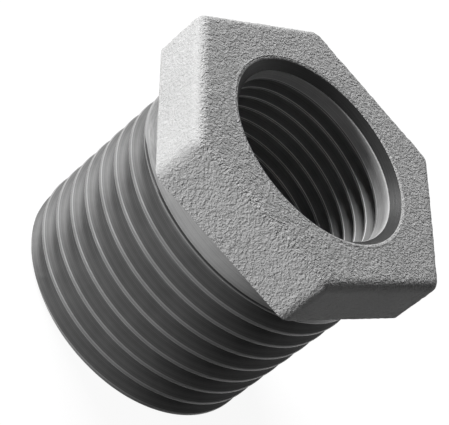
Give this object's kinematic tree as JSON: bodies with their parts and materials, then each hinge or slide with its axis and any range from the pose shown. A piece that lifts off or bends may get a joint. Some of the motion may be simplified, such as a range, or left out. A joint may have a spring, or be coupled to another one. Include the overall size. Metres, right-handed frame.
{
  "type": "hexagon reducing bush",
  "caption": "Pipe fitting that steps a threaded outlet down to a smaller one: a hexagon head on a male-threaded shank, with a female thread through the middle.",
  "frame": {"origin": "centre of the flat threaded end, on the axis of both threads", "axes": "+Z along the axis towards the hexagon head, with two of its corners on X and two of its flats facing +Y and -Y"},
  "size_m": [0.02, 0.0174, 0.0161],
  "materials": {
    "casting": "stainless casting, grit-blasted head, machined threads"
  },
  "bodies": {
    "root": {"reducing_bush": "casting"}
  },
  "joints": []
}
